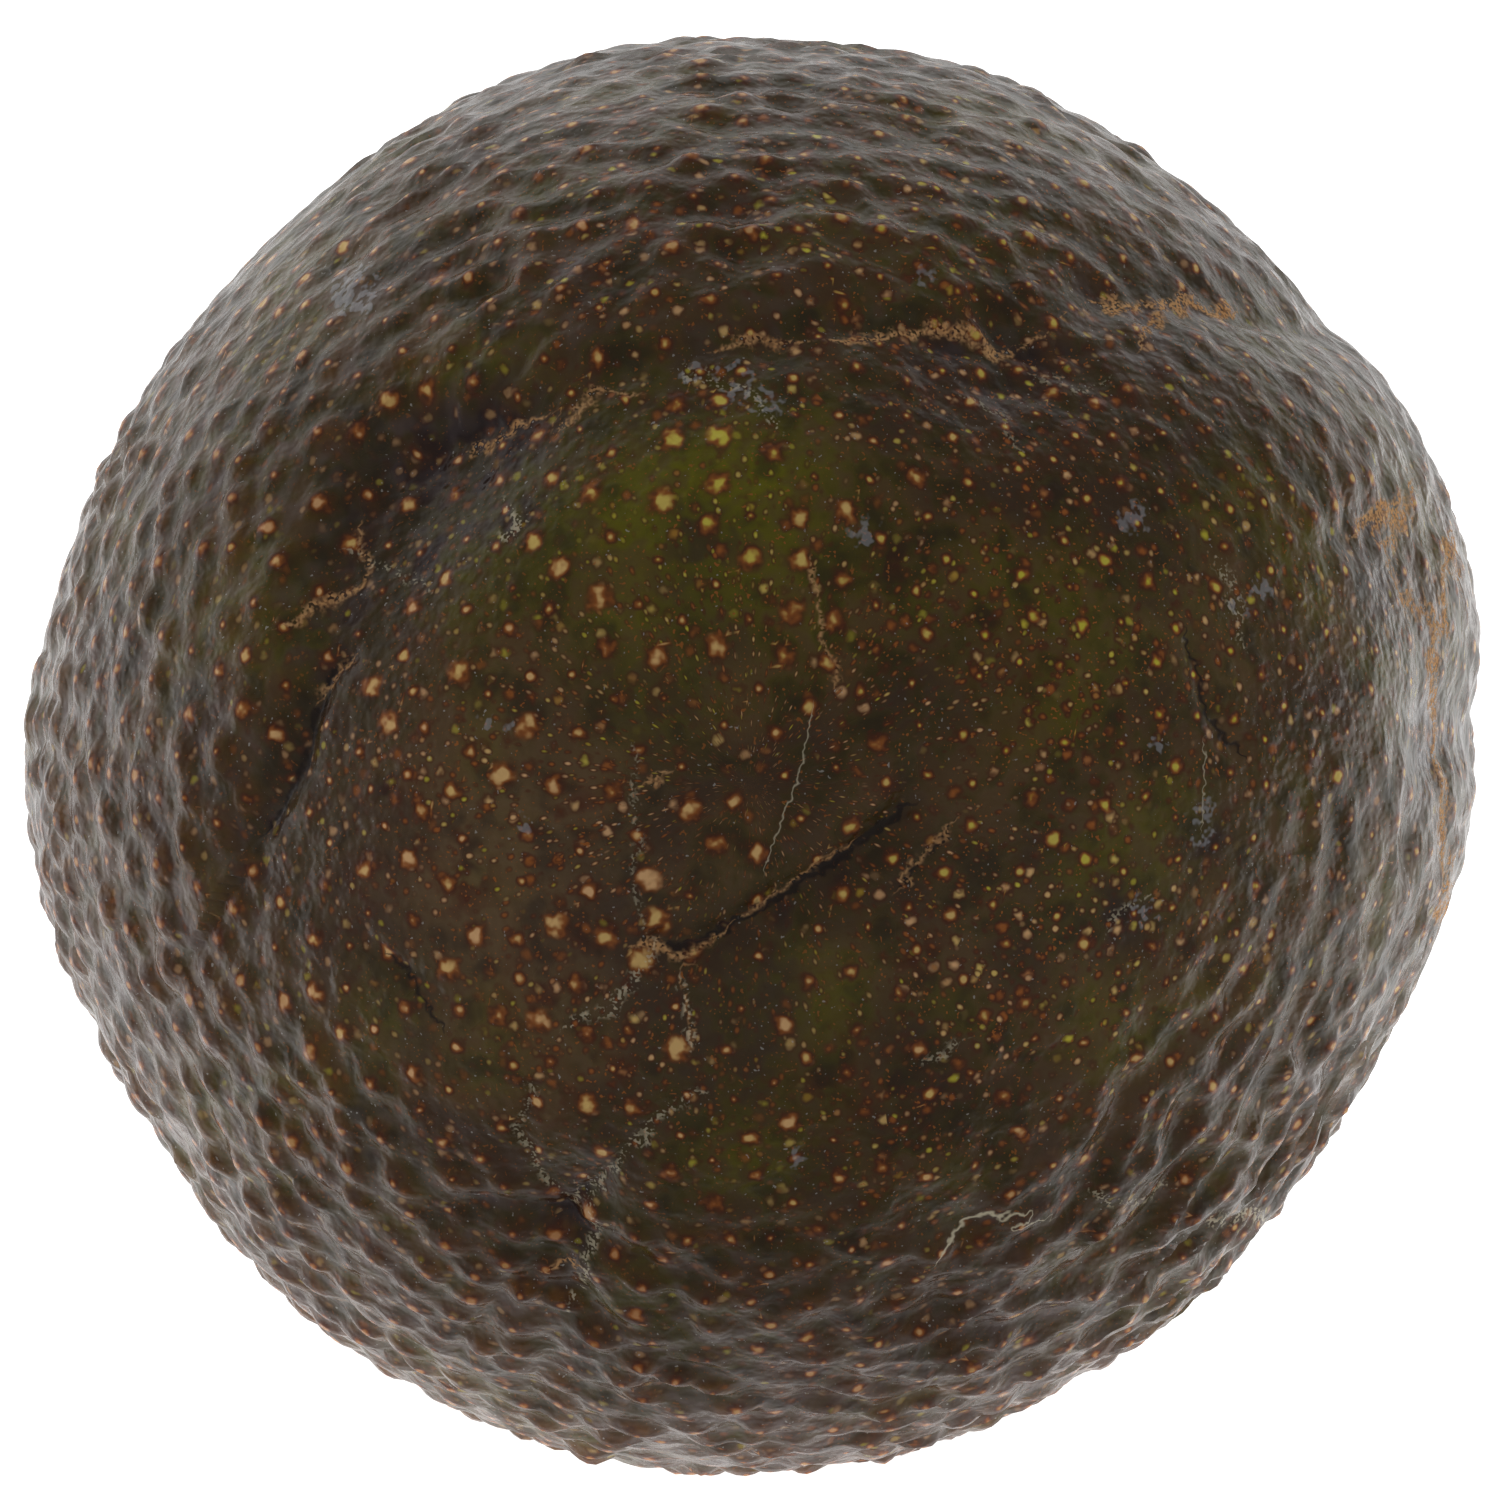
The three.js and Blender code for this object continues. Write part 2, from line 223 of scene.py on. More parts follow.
# Purple-brown patches of the skin, and painted shade in and along the folds and the main crack
PURPLE_AND_SHADE_SPOTS = [
    (1.5, -7.9, 1.5, 0.8),
    (4.6, -6, 1.7, 0.9),
    (-12, 12, 4, 0.9),
    (-9, 16, 3, 0.6),
    (0, 27, 9, 0.4),
    (24, 20, 7, 0.5),
    (-2, -27, 9, 0.55),
    (12, -26, 9, 0.45),
    (2, -19, 5, 0.4),
    (-20, 6, 3, 0.9),
    (-18.5, 9, 3, 0.9),
    (-7, 19, 3, 0.5),
    (9, -16.8, 2, 0.9),
    (18, -8, 2.4, 0.9),
    (-13, -22, 2.2, 0.8),
    (22, -26, 2, 0.6),
    (-16, 11.5, 4.5, 0.9),
    (-9, -24, 3.6, 0.9),
    (12, 22, 2.4, 0.6),
    (16, 17, 5, 0.6),
    (8, -14.5, 2.6, 0.7),
    (3, -20.5, 2.2, 0.7),
    (14, -5, 2.2, 0.6),
    (-17, -11, 2.8, 0.7),
    (7.6, -5.8, 3, 0.7),
    (22, -4.2, 1.7, 1.0),
    (20, 2.5, 2.6, 0.5),
    (-22.5, 0, 3, 0.6),
]
RUST_SPOTS = [
    (-14, -6.5, 1.8, 0.8),
    (-10.5, -12, 1.8, 0.8),
    (-8, -9, 1.5, 0.7),
    (-6.5, -15.5, 1.4, 0.7),
    (-10, -17, 1.6, 0.7),
    (8.3, -10, 1.3, 0.9),
    (20, -10, 1.6, 0.7),
    (-8.3, -2.8, 1.1, 0.8),
    (-19.5, 12, 1.2, 0.5),
    (14, 14, 4, 0.5),
    (9, 17.5, 2, 0.6),
    (5, -31, 6, 0.5),
    (16, -30, 4, 0.4),
    (6, -16, 4, 0.5),
    (3, -16.3, 1.1, 0.8),
    (12, 6, 1.4, 0.6),
    (7, 9, 1, 0.8),
    (6.8, -1.8, 0.8, 0.9),
    (-18.8, -6.5, 1.6, 0.9),
    (-17.8, -2.1, 1, 0.9),
    (12.5, 3.4, 2.2, 0.5),
]

# Greyish flakes of dry skin
FLAKE_SPOTS = [
    (-19.2, 22.1, 1.5, 1),
    (-0.8, 18.1, 1.3, 0.9),
    (0.8, 17, 1, 0.9),
    (-2.6, 18.4, 1, 0.8),
    (18.5, 11.1, 0.9, 1),
    (24.7, 7.8, 0.7, 1),
    (23.4, 7, 0.8, 0.7),
    (5.6, 10.4, 0.8, 0.9),
    (22, -3, 0.8, 1),
    (22, -4.4, 0.9, 0.8),
    (19, -7.8, 0.9, 0.9),
    (19.8, 0.3, 0.6, 0.9),
    (2.2, -19.7, 0.8, 0.8),
    (8.5, 23, 0.6, 0.6),
    (-12.8, 1.2, 0.5, 1),
    (-11.7, 1, 0.4, 1),
    (-11, -3.6, 0.5, 1),
]

# Where the skin keeps more of its grey bloom and carries more painted sheen, mostly towards its rims
BLOOM_AND_SHEEN_SPOTS = [
    (-31, 4, 9, 0.7),
    (-28, -5, 6, 0.6),
    (-27, -12, 8, 0.6),
    (-25, 17, 8, 0.9),
    (-12, 27, 8, 0.4),
    (-20, -24, 8, 0.7),
    (26, -18, 8, 0.5),
    (20, 28, 8, 0.6),
    (0, -33, 8, 0.6),
    (14, -30, 8, 0.6),
]

# Where the skin is a lighter brown
WARM_SPOTS = [
    (-12, -6, 10, 1.0),
    (-8, -14, 6, 0.5),
    (-16, 3, 5, 0.4),
    (10, -6, 7, 0.35),
    (20, -8, 8, 0.45),
    (23, 5, 6, 0.4),
]

# Where the pores are large and pale, and where they are small and yellow-green
BOLD_PORES = [
    (-13, -1, 7, 1.0),
    (-9, -7, 7, 1.0),
    (-5, -15, 6, 0.7),
    (-3, 11, 8, 0.6),
    (-18, -9, 6, 0.6),
    (-22, 18, 7, 0.4),
]
GREEN_PORES = [
    (17, 3, 13, 0.9),
    (-2, 13, 7, 0.6),
    (10, 24, 7, 0.8),
]

# Where there are more fine specks between the pores
FRECKLED_SPOTS = [
    (-11, -3, 9, 0.65),
    (-6, -14, 7, 0.6),
    (0, 8, 9, 0.6),
    (15, 3, 14, 0.8),
    (14, -9, 11, 0.8),
    (6, 24, 12, 0.7),
    (-6, 24, 8, 0.5),
    (8, -17, 8, 0.5),
    (15, 14, 9, 0.7),
]

# Where the pebbles are wide and close, like scales
SCALY_SPOTS = [
    (-32, -5, 8, 1.0),
    (-29, -16, 9, 1.0),
    (-20, -26, 8, 1.0),
    (-34, 6, 8, 0.7),
    (-8, -33, 9, 0.6),
    (10, -33, 9, 0.4),
]

# Where the skin is drawn into ridges that run round the fruit
RIDGED_SPOTS = [
    (20, -24, 10, 1.0),
    (8, -29, 9, 0.9),
    (30, -9, 7, 0.6),
    (27, -16, 8, 0.8),
    (-4, -29, 8, 0.6),
    (-24, -20, 9, 0.4),
    (-14, 25, 8, 0.6),
    (2, 28, 12, 0.6),
    (22, 25, 9, 0.4),
]

# The smooth face of the blossom end, as its middle and half sizes, the share of the pebbles'
# height that is left on it, and the places round it where they are faint too
SMOOTH_FACE = (1, -1.5, 27, 22.5)
FACE_PEBBLES = 0.12
CALM_SPOTS = [
    (21, -14, 8, 0.6),
    (25, 21, 9, 0.7),
    (30, 5, 10, 0.8),
    (30, 26, 24, 0.7),
    (34, -8, 13, 0.7),
    (25, -23, 11, 0.45),
    (-9, 31, 13, 0.6),
    (-22, 26, 12, 0.75),
    (-29, 9, 11, 0.25),
    (6, 34, 14, 0.6),
    (8, -29, 8, 0.3),
]

# The skin's mesh: a cube blown up into a ball, with its points drawn towards the blossom end
FACES_ACROSS = 128
BLOSSOM_PULL = 0.35

# The places along the axis between which the marks seen at the blossom end fade out
MARKS_END = (-12, 2)

# Marks that run round the fruit: their length over their width, and millimetres along per radian
FLOW_STRETCH = 2.3
FLOW_SPREAD = 42
PEBBLE_STRETCH = 1.35

# Pores: the least radius, what chance adds to it on the blossom end and where pores are bold,
# and how green chance makes them
SKIN_SEED = 20731
PORE_RADIUS = 0.1
PORE_GROWTH = 0.38
GROWTH_ON_FACE = 0.3
GROWTH_WHERE_BOLD = 1.3
PORE_GREENNESS = 0.35

# Crowns of the pebbles: radius, what chance and scaly places add to it, and steepness
CROWN_RADIUS = 0.66
CROWN_CHANCE = 0.2
CROWN_SCALY = 0.25
CROWN_STEEPNESS = 2.2

# How far and over what length the pebbles are bent out of round
PEBBLE_BEND = 0.45
BEND_SIZE = 2.4

# Size and height of the wrinkles, streaks, swells and broad patches under the pebbles
WRINKLE_SIZE = 2.2
WRINKLE_SHARPNESS = 2.6
WRINKLE_HEIGHT = 0.58
WRINKLES_BEHIND = 0.35
STREAK_SIZE = 1.2
STREAK_HEIGHT = 0.05
SWELL_SIZE = 5
SWELL_HEIGHT = 0.2
PATCH_SIZE = 9
PATCH_HEIGHT = 0.1

# The depth of hollow that has the full painted shade, the painted shade line in a crack, as a share of
# the crack's width, and the fade beside any line
FULL_SHADE_DEPTH = 1.5
CRACK_SHADE_SHARE = 0.3
LINE_FADE = (0.35, 0.8)

# Sizes of the noises in the skin's colours and bumps
COARSE_NOISE = 7
MIDDLE_NOISE = 2.2
WARP_NOISE = 0.9
FINE_NOISE = 0.45
GRAIN_NOISE = 0.15
STREAK_NOISE = 1.0

# Specks: sizes of the cells that hold one speck each, and a speck's radius as a share of that
ROUND_SPECK_CELL = 1.05
LONG_SPECK_CELL = 0.55
SPECK_RADIUS = 0.27

# The stub of the stalk and its socket, measured from the tip of the skin
STUB_RADIUS = 4.5
STUB_WAIST = 3.8
STUB_NECK = 0.4
STUB_DEPTH = 2.2
STUB_HEIGHT = 3
STUB_FLARE = 1.4
STUB_ROUND = 0.8
STUB_DISH = 0.4
STUB_GAP = 0.3
STUB_SIDES = 96
STUB_STEP = 0.2
COLLAR_RADIUS = 7.5
COLLAR_HEIGHT = 0.8

# The direction in which the surround is brightest, behind the fruit and a little to its left,
# and how far towards it the light rises from least to most
BRIGHT_SIDE = (-0.25, 0.95, -0.15)
BRIGHT_RISE = (-0.25, 0.6)

# How far back, in metres, the floor's glow rises from none to full
GLOW_RISE = (-0.058, -0.008)


def smooth(value, low, high):
    """Rises from 0 at low to 1 at high, with soft ends."""
    share = np.clip((value - low) / (high - low), 0, 1)
    return share * share * (3 - 2 * share)


def taper_at(share):
    return 1 - NECK_TAPER * share**NECK_POWER


def girth_scale():
    along = abs(2 * GIRTH_AT - 1)
    share = (1 - along**BLOSSOM_BLUNTNESS) ** (1 / BLOSSOM_BLUNTNESS)
    return GIRTH_RADIUS / (share * taper_at(GIRTH_AT))


HALF_GIRTH = girth_scale()
HALF_LENGTH = LENGTH / 2


def lobe_height(angle):
    """Height of the swellings round the girth, at angles in degrees."""
    height = np.zeros_like(angle)
    for at, half, rise in LOBES:
        turn = (angle - at + 540) % 360 - 180
        height += rise * np.exp(-((turn / half) ** 2))
    return height


def plain_skin(directions):
    """The smooth form in the fruit's own frame, whose axis is Y and whose middle is the origin."""
    x, y, z = directions.T
    across = np.hypot(x, z)
    power = np.where(y < 0, BLOSSOM_BLUNTNESS, STEM_BLUNTNESS)
    reach = ((across / HALF_GIRTH) ** power + (np.abs(y) / HALF_LENGTH) ** power) ** (-1 / power)
    share = y * reach / LENGTH + 0.5
    radius = across * reach
    lobe = lobe_height(np.degrees(np.arctan2(z, x))) * (radius / HALF_GIRTH) ** 2
    scale = reach * taper_at(share) * (1 + lobe / GIRTH_RADIUS)
    return np.stack([
        x * scale + STEM_LEAN[0] * share**2,
        y * reach,
        z * scale + STEM_LEAN[1] * share**2,
    ], axis=1)


def outward_of(own):
    """Directions away from the fruit's middle, about square to the skin."""
    outward = own / np.array([HALF_GIRTH**2, HALF_LENGTH**2, HALF_GIRTH**2])
    return outward / np.linalg.norm(outward, axis=1, keepdims=True)


def resting_frame():
    """The turn and the shift that lay the fruit on its flat spot, over the origin."""
    dip = math.radians(-REST_DIP_DEG)
    turn = np.array([
        [1, 0, 0],
        [0, math.cos(dip), -math.sin(dip)],
        [0, math.sin(dip), math.cos(dip)],
    ])
    polar = np.radians(np.arange(20, 160, 0.05))
    downward = np.stack([np.zeros_like(polar), -np.cos(polar), -np.sin(polar)], axis=1)
    under = plain_skin(downward) @ turn.T
    lowest = under[np.argmin(under[:, 2])]
    return turn, np.array([0, -lowest[1], -lowest[2] - SPOT_SINK])


TURN, SHIFT = resting_frame()


def lay_down(own):
    """Moves points from the fruit's own frame to where it lies."""
    return own @ TURN.T + SHIFT


def flow_of(own):
    """Places that change slowly round the fruit and fast along it, for marks that run round it."""
    across = np.maximum(np.hypot(own[:, 0], own[:, 2]), 1e-6)
    along = np.arctan2(across, -own[:, 1]) * FLOW_SPREAD
    ring = GIRTH_RADIUS / FLOW_STRETCH / across
    return np.stack([own[:, 0] * ring, along, own[:, 2] * ring], axis=1)


def round_the_fruit(own):
    """Directions round the fruit's axis, where it lies."""
    round_it = np.stack([-own[:, 2], np.zeros(len(own)), own[:, 0]], axis=1)
    return round_it / np.maximum(np.linalg.norm(round_it, axis=1, keepdims=True), 1e-6) @ TURN.T


def seen_place(points):
    """Where points are seen from the viewpoint, as (right, up) in the plane through VIEW_CENTRE."""
    raised = math.radians(VIEW_POINT_RAISE_DEG)
    x, y, z = (points - np.array(VIEW_CENTRE)).T
    nearer = -y * math.cos(raised) + z * math.sin(raised)
    enlarge = VIEW_POINT_DISTANCE / (VIEW_POINT_DISTANCE - nearer)
    up = y * math.sin(raised) + z * math.cos(raised)
    return np.stack([x * enlarge, up * enlarge], axis=1)


def beside_line(place, line):
    """Signed distance of each place from a line of places."""
    best = np.full(len(place), 1e9)
    side = np.zeros(len(place))
    for start, end in zip(line, line[1:]):
        step = np.subtract(end, start)
        length = np.hypot(*step)
        offset = place - np.array(start)
        share = np.clip(offset @ step / length**2, 0, 1)
        away = offset - share[:, None] * step
        distance = np.hypot(away[:, 0], away[:, 1])
        nearer = distance < best
        best = np.where(nearer, distance, best)
        turned = np.where(step[0] * offset[:, 1] - step[1] * offset[:, 0] < 0, -1, 1)
        side = np.where(nearer, turned * distance, side)
    return side


def nearest_line(place, lines):
    """For each place: signed distance of the nearest line, its half width, and 1 close to it."""
    best = np.full(len(place), 1e9)
    found = np.zeros((len(place), 3))
    for width, line in lines:
        side = beside_line(place, line)
        reach = np.abs(side) - width
        nearer = reach < best
        best = np.where(nearer, reach, best)
        close = 1 - smooth(reach, *LINE_FADE)
        found[nearer] = np.stack([side, np.full_like(side, width), close], axis=1)[nearer]
    return found


def spots(place, places):
    """Strength of a list of round blotches at each place, from 0 to 1."""
    total = np.zeros(len(place))
    for x, z, radius, strength in places:
        away = np.hypot(place[:, 0] - x, place[:, 1] - z)
        total = np.maximum(total, strength * np.exp(-((away / radius) ** 2)))
    return total


def end_relief(place):
    """Height of the folds, dents, swellings and creases of the blossom end."""
    height = np.zeros(len(place))
    for depth, left, right, line in FOLDS:
        side = beside_line(place, line)
        height -= depth * np.exp(-((side / np.where(side > 0, left, right)) ** 2))
    for x, z, radius, rise in SWELLS:
        away = np.hypot(place[:, 0] - x, place[:, 1] - z)
        height += rise * np.exp(-((away / radius) ** 2))
    for depth, width, line in CRACKS + CREASES:
        side = beside_line(place, line)
        height -= depth * np.exp(-np.abs(side / width) ** 1.5)
    return height


def pebbles_seen(place):
    """How strongly the skin is pebbled at a seen place of the blossom end."""
    middle_x, middle_z, half_x, half_z = SMOOTH_FACE
    out = np.hypot((place[:, 0] - middle_x) / half_x, (place[:, 1] - middle_z) / half_z)
    strength = FACE_PEBBLES + (1 - FACE_PEBBLES) * smooth(out, 0.8, 1.15)
    return strength * (1 - spots(place, CALM_SPOTS))


def noise_at(points, size, shift):
    """Smooth noise from about -1 to 1, with features of a size in millimetres, moved by a shift."""
    scaled = points / size + shift
    return np.array([noise.noise(Vector(point)) for point in scaled])


def ball_of_faces(across):
    """Unit directions and quads of a cube blown up into a ball, with shared points merged."""
    steps = np.tan(np.linspace(-1, 1, across + 1) * math.pi / 4)
    first, second = np.meshgrid(steps, steps, indexing="ij")
    one = np.ones_like(first)
    sides = [
        (one, first, second), (-one, second, first),
        (second, one, first), (first, -one, second),
        (first, second, one), (second, first, -one),
    ]
    points = []
    quads = []
    row = across + 1
    corner = (np.arange(across)[:, None] * row + np.arange(across)[None, :]).ravel()
    for side in sides:
        corners = np.stack([corner, corner + row, corner + row + 1, corner + 1], axis=1)
        quads.append(corners + len(points) * row**2)
        points.append(np.stack([part.ravel() for part in side], axis=1))
    points = np.concatenate(points)
    points /= np.linalg.norm(points, axis=1, keepdims=True)
    keys = np.round(points * 1e6).astype(np.int64)
    _, kept, merged = np.unique(keys, axis=0, return_index=True, return_inverse=True)
    return points[kept], merged.ravel()[np.concatenate(quads)]


def pull_to_blossom(directions):
    """Draws directions towards -Y, so that the mesh is finer at the blossom end."""
    polar = np.arccos(np.clip(-directions[:, 1], -1, 1))
    pulled = polar - BLOSSOM_PULL * np.sin(polar)
    across = np.hypot(directions[:, 0], directions[:, 2])
    grow = np.sin(pulled) / np.maximum(across, 1e-9)
    return np.stack([directions[:, 0] * grow, -np.cos(pulled), directions[:, 2] * grow], axis=1)


def tree_of(points):
    tree = kdtree.KDTree(len(points))
    for index, point in enumerate(points):
        tree.insert(point, index)
    tree.balance()
    return tree


def choose_pores(points, spacing, random):
    """Picks points at least a spacing apart, in random order, for the middles of the pebbles."""
    tree = tree_of(points)
    free = np.ones(len(points), dtype=bool)
    chosen = []
    for index in random.permutation(len(points)):
        if not free[index]:
            continue
        chosen.append(index)
        for _, near, _ in tree.find_range(points[index], spacing):
            free[near] = False
    return np.array(chosen)


def pebble_cells(points, pores, run):
    """For each point: index of the nearest pore, and distances to it and to the next one.

    Distances along the run are shortened, so that the pebbles are longer that way.
    """
    tree = tree_of(pores)
    near = np.array([[found[1] for found in tree.find_n(point, 6)] for point in points])
    offset = points[:, None, :] - pores[near]
    along = np.einsum("ijk,ik->ij", offset, run)
    distance = np.sqrt((offset**2).sum(axis=2) - (1 - PEBBLE_STRETCH**-2) * along**2)
    order = np.argsort(distance, axis=1)
    each = np.arange(len(points))
    return near[each, order[:, 0]], distance[each, order[:, 0]], distance[each, order[:, 1]]


def set_attribute(mesh, name, values):
    """Stores one number or one vector for each point of a mesh."""
    if values.ndim == 1:
        mesh.attributes.new(name, "FLOAT", "POINT").data.foreach_set("value", values.astype(np.float32))
    else:
        attribute = mesh.attributes.new(name, "FLOAT_VECTOR", "POINT")
        attribute.data.foreach_set("vector", values.astype(np.float32).ravel())


def mesh_object(name, points, faces):
    mesh = bpy.data.meshes.new(name)
    mesh.from_pydata(points.tolist(), [], faces)
    mesh.update()
    mesh.polygons.foreach_set("use_smooth", [True] * len(mesh.polygons))
    piece = bpy.data.objects.new(name, mesh)
    bpy.context.scene.collection.objects.link(piece)
    return piece


def build_fruit(sizes):
    """The whole skin as one fine closed mesh, with what its finish needs kept on its points."""
    directions, quads = ball_of_faces(FACES_ACROSS)
    own = plain_skin(pull_to_blossom(directions))
    lying = lay_down(own)
    outward = outward_of(own) @ TURN.T
    place = seen_place(lying)
    facing = 1 - smooth(own[:, 1], *MARKS_END)

    random = np.random.default_rng(SKIN_SEED)
    pore_index = choose_pores(lying, sizes.pebble_spacing / MM, random)
    pores = lying[pore_index]
    pore_random = random.random((len(pores), 3))
    pore_facing = facing[pore_index]
    bold = pore_facing * spots(place[pore_index], BOLD_PORES)
    growth = GROWTH_ON_FACE * pore_facing + GROWTH_WHERE_BOLD * bold
    pore_size = PORE_RADIUS + PORE_GROWTH * pore_random[:, 1] ** 2 * growth
    pore_green = PORE_GREENNESS * pore_random[:, 2]
    pore_green += pore_facing * spots(place[pore_index], GREEN_PORES)
    pore_kind = np.stack([pore_random[:, 0], pore_size, np.clip(pore_green, 0, 1)], axis=1)

    scaly = pore_facing * spots(place[pore_index], SCALY_SPOTS) + 1 - pore_facing
    crown_radius = CROWN_RADIUS + CROWN_CHANCE * pore_random[:, 2] + CROWN_SCALY * scaly
    bend = np.stack([noise_at(lying, BEND_SIZE, shift) for shift in (1.3, 4.9, 8.1)], axis=1)
    bent = lying + PEBBLE_BEND * bend
    nearest, first, second = pebble_cells(bent, bent[pore_index], round_the_fruit(own))
    cobble = 1 - (2 * first / (first + second)) ** 2
    nub = np.exp(-((first / crown_radius[nearest]) ** CROWN_STEEPNESS))

    flow = flow_of(own)
    wrinkle = 1 - WRINKLE_SHARPNESS * np.abs(noise_at(flow, WRINKLE_SIZE, 3.7))
    streak = noise_at(flow, STREAK_SIZE, 8.4)
    patch = noise_at(own, PATCH_SIZE, 11.3)
    swell = noise_at(own, SWELL_SIZE, 6.1)
    pebbling = 1 - facing + facing * pebbles_seen(place)
    spot_bare = smooth(np.hypot(lying[:, 0], lying[:, 1]), SPOT_BARE, SPOT_BARE + SPOT_FADE)
    spot_bare = np.where(lying[:, 2] < HALF_GIRTH, spot_bare, 1)
    pebbling = pebbling * spot_bare * (0.85 + 0.3 * patch)
    rise = (0.4 + 0.9 * pore_random[nearest, 0]) * (nub - 0.3 + 0.4 * (1 - facing) * (cobble - 0.45))
    pebble = pebbling * (sizes.pebble_height / MM) * rise
    ridged = facing * spots(place, RIDGED_SPOTS) + WRINKLES_BEHIND * (1 - facing)

    from_stem = np.hypot(own[:, 0] - STEM_LEAN[0], own[:, 2] - STEM_LEAN[1])
    at_stem = own[:, 1] > 0
    collar = np.where(at_stem, COLLAR_HEIGHT * np.exp(-((from_stem / COLLAR_RADIUS) ** 4)), 0)
    socket_radius = STUB_WAIST + STUB_GAP
    socket = (STUB_DEPTH + STUB_GAP) * (1 - smooth(from_stem, socket_radius - 0.5, socket_radius + 0.4))
    socket = np.where(at_stem, socket, 0)
    away_from_stem = np.where(at_stem, smooth(from_stem, socket_radius, socket_radius + 3), 1)

    height = facing * sizes.fold_strength * end_relief(place) + collar - socket
    waves = pebbling * (SWELL_HEIGHT * swell + STREAK_HEIGHT * streak)
    waves += WRINKLE_HEIGHT * ridged * wrinkle + PATCH_HEIGHT * spot_bare * patch
    height += away_from_stem * (pebble + waves)
    points = lying + outward * height[:, None]
    points[:, 2] = np.maximum(points[:, 2], 0)

    fruit = mesh_object("fruit_skin", points * MM, quads.tolist())
    mesh = fruit.data
    set_attribute(mesh, "from_pore", (lying - pores[nearest]) * MM)
    set_attribute(mesh, "pore_kind", pore_kind[nearest])
    from_pore = np.linalg.norm(lying - pores[nearest], axis=1)
    set_attribute(mesh, "pore_near", 1 - smooth(np.maximum(first, from_pore), 0.5, 0.75))
    set_attribute(mesh, "nub", nub)
    set_attribute(mesh, "flow", flow * MM)
    set_attribute(mesh, "freckled", 0.2 + 0.15 * facing + facing * spots(place, FRECKLED_SPOTS))
    set_attribute(mesh, "ridge", np.clip(ridged * wrinkle, 0, 1))
    set_attribute(mesh, "pebbling", pebbling)
    # Painted shade in the folds, dents and creases, darker where the skin is sunk further
    set_attribute(mesh, "groove_shade", np.clip(-height / FULL_SHADE_DEPTH, 0, 1))
    one = np.ones_like(facing)
    shown = np.stack([one, one, facing], axis=1)
    line_sets = {
        "cork_line": CORK_LINES,
        "white_line": WHITE_LINES,
        "dusty_line": DUSTY_LINES,
        "crack": [(CRACK_SHADE_SHARE * width, line) for _, width, line in CRACKS],
    }
    for name, lines in line_sets.items():
        set_attribute(mesh, name, nearest_line(place, lines) * shown)
    # Green patches, purple patches with painted shade, and rust
    set_attribute(mesh, "blotches_and_shade", np.stack([
        facing * spots(place, GREEN_SPOTS),
        facing * spots(place, PURPLE_AND_SHADE_SPOTS) + 0.6 * (1 - facing),
        facing * spots(place, RUST_SPOTS),
    ], axis=1))
    set_attribute(mesh, "flaked", facing * spots(place, FLAKE_SPOTS))
    # Grey bloom with painted sheen: strongest at the listed spots near the rims, and a little all over
    # the back
    set_attribute(mesh, "bloomed_and_sheened", facing * spots(place, BLOOM_AND_SHEEN_SPOTS) + 0.15 * (1 - facing))
    set_attribute(mesh, "warm", facing * spots(place, WARM_SPOTS))
    return fruit


class Finish:
    """A material whose shader nodes are added and linked one call at a time."""

    def __init__(self, name):
        self.material = bpy.data.materials.new(name)
        self.material.use_nodes = True
        self.tree = self.material.node_tree
        self.tree.nodes.clear()
        self.place = self.add("ShaderNodeTexCoord").outputs["Object"]

    def add(self, kind, inputs=None, **settings):
        node = self.tree.nodes.new(kind)
        for name, value in settings.items():
            setattr(node, name, value)
        for name, value in (inputs or {}).items():
            self.feed(node.inputs[name], value)
        return node

    def feed(self, socket, value):
        if isinstance(value, bpy.types.NodeSocket):
            self.tree.links.new(value, socket)
        elif socket.type == "RGBA":
            socket.default_value = (*value, 1.0)
        else:
            socket.default_value = value

    def maths(self, operation, *values):
        return self.add("ShaderNodeMath", dict(enumerate(values)), operation=operation).outputs[0]

    def times(self, first, second):
        return self.maths("MULTIPLY", first, second)

    def plus(self, first, second):
        return self.maths("ADD", first, second)

    def between(self, value, low, high, to_low=0.0, to_high=1.0):
        """The value, carried softly from the range low to high onto the range to_low to to_high."""
        inputs = {
            "Value": value, "From Min": low, "From Max": high, "To Min": to_low, "To Max": to_high,
        }
        return self.add("ShaderNodeMapRange", inputs, interpolation_type="SMOOTHSTEP").outputs[0]

    def mix(self, share, first, second):
        inputs = {0: share, 6: first, 7: second}
        return self.add("ShaderNodeMix", inputs, data_type="RGBA").outputs[2]

    def noise(self, size, detail, vector=None):
        inputs = {
            "Vector": vector or self.place,
            "Scale": 1 / (size * MM),
            "Detail": detail,
            "Roughness": 0.55,
        }
        return self.add("ShaderNodeTexNoise", inputs).outputs["Fac"]

    def cells(self, size, vector=None):
        inputs = {"Vector": vector or self.place, "Scale": 1 / (size * MM)}
        return self.add("ShaderNodeTexVoronoi", inputs).outputs

    def attribute(self, name):
        return self.add("ShaderNodeAttribute", attribute_name=name).outputs

    def parts(self, vector):
        return self.add("ShaderNodeSeparateXYZ", {0: vector}).outputs

    def finish(self, inputs):
        shader = self.add("ShaderNodeBsdfPrincipled", inputs)
        output = self.add("ShaderNodeOutputMaterial")
        self.tree.links.new(shader.outputs[0], output.inputs["Surface"])
        return self.material


def line_mask(skin, name, ragged, edge):
    """Where the nearest line of a kind lies, with ragged sides."""
    side, width, close = skin.parts(skin.attribute(name)["Vector"])[0:3]
    off = skin.maths("ABSOLUTE", skin.plus(side, ragged))
    reach = skin.maths("SUBTRACT", off, width)
    return skin.times(skin.between(reach, edge, -edge), close)


